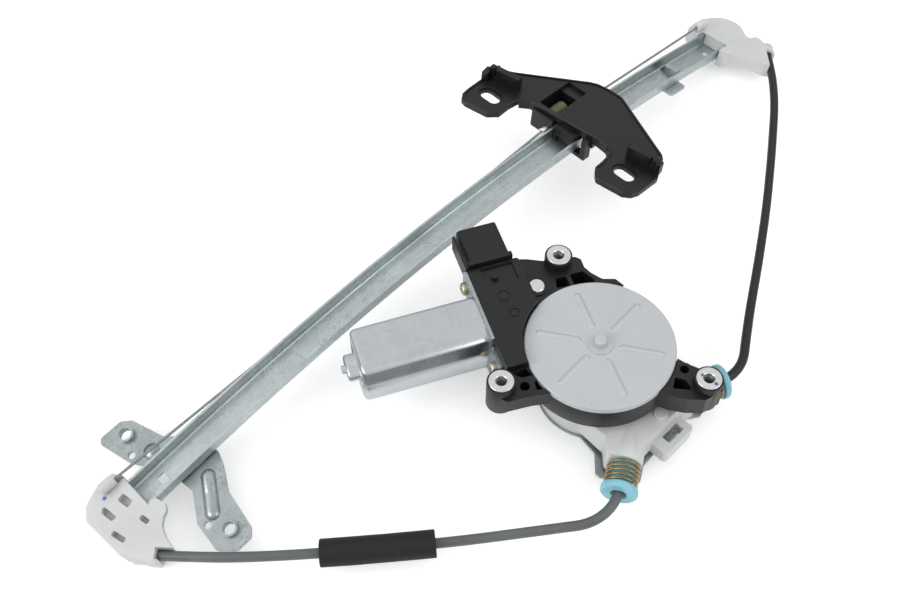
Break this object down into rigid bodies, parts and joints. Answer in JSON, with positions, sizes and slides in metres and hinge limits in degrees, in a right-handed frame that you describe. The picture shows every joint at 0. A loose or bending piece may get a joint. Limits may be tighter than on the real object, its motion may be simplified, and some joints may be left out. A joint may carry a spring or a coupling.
{
  "type": "window regulator",
  "caption": "Cable window regulator: an arched guide rail with a sliding glass carrier, and a geared motor whose drum pulls the carrier through two cables in conduits.",
  "frame": {"origin": "top of the drum's centre pin, on the drum's axis and level with the three fixing faces of the motor", "axes": "+Z out of the gear cover, along the drum's axis; +Y up along the guide rail, towards the closed window; +X from the rail to the motor"},
  "size_m": [0.2254, 0.4864, 0.0551],
  "materials": {
    "zinc_steel": "zinc plated",
    "can_steel": "bright zinc plated",
    "cover_steel": "matt grey plating",
    "natural_acetal": "natural white, slightly translucent",
    "black_nylon": "black, glass filled",
    "blue_acetal": "light blue",
    "spring_steel": "yellow passivated wire",
    "grey_conduit": "grey",
    "black_conduit": "black",
    "rubber_tube": "black rubber tube",
    "insert_steel": "bright plated",
    "cable_steel": "galvanised wire rope, drawn as a rod",
    "ferrule_zinc": "die cast",
    "buffer_polymer": "olive",
    "shoe_acetal": "black",
    "gear_acetal": "natural",
    "damper_rubber": "black",
    "shaft_steel": "ground",
    "lamination_steel": "stacked sheet",
    "copper_wire": "copper",
    "bearing_bronze": "sintered bronze",
    "ferrite": "dark grey",
    "brush_carbon": "carbon",
    "holder_plastic": "black",
    "terminal_brass": "tinned"
  },
  "bodies": {
    "frame": {"guide_rail": "zinc_steel", "lower_bracket": "zinc_steel", "lower_guide_housing": "natural_acetal", "upper_guide_housing": "natural_acetal", "lower_conduit": "grey_conduit", "upper_conduit": "black_conduit", "conduit_sleeve": "rubber_tube", "lower_adjuster_sleeve": "blue_acetal", "upper_adjuster_sleeve": "blue_acetal", "lower_adjuster_spring": "spring_steel", "upper_adjuster_spring": "spring_steel", "drum_housing": "natural_acetal", "back_plate": "zinc_steel", "gear_case": "black_nylon", "gear_cover": "cover_steel", "centre_pin": "cover_steel", "threaded_inserts": "insert_steel", "case_rivet": "insert_steel", "flange_plate": "zinc_steel", "flange_screws": "insert_steel", "motor_can": "can_steel", "end_bearing": "bearing_bronze", "motor_magnets": "ferrite", "motor_brushes": "brush_carbon", "brush_holder": "holder_plastic", "connector_shroud": "black_nylon", "connector_terminals": "terminal_brass", "lower_cable_run": "cable_steel", "upper_cable_run": "cable_steel"},
    "armature": {"armature_shaft": "shaft_steel", "armature_core": "lamination_steel", "armature_windings": "copper_wire", "commutator": "copper_wire"},
    "drum": {"worm_wheel": "gear_acetal", "wheel_damper": "damper_rubber", "drive_plate": "shaft_steel", "output_shaft": "shaft_steel", "cable_drum": "gear_acetal", "cable_turns": "cable_steel"},
    "carrier": {"carrier_bracket": "black_nylon", "slide_shoe": "shoe_acetal", "cable_buffer": "buffer_polymer", "lower_cable_end": "ferrule_zinc", "upper_cable_end": "ferrule_zinc"}
  },
  "joints": [
    {"name": "armature_spin", "type": "hinge", "parent": "frame", "child": "armature", "pos_m": [-0.02825, 0.01415, -0.0165], "axis": [-0.4478, -0.8942, 0], "range_deg": [-8340, 13598]},
    {"name": "drum_spin", "type": "hinge", "parent": "frame", "child": "drum", "pos_m": [0, 0, -0.035], "axis": [0, 0, -1], "range_deg": [-114.25, 186.28]},
    {"name": "carrier_travel", "type": "hinge", "parent": "frame", "child": "carrier", "pos_m": [-0.109, 0.0235, -1.024], "axis": [-1, 0, 0], "range_deg": [-2.61, 4.25], "deforming": ["lower_cable_run", "upper_cable_run"]}
  ],
  "couplings": [
    {"joint": "drum_spin", "follows": "armature_spin", "ratio": 0.013699},
    {"joint": "carrier_travel", "follows": "armature_spin", "ratio": 0.00031288}
  ]
}
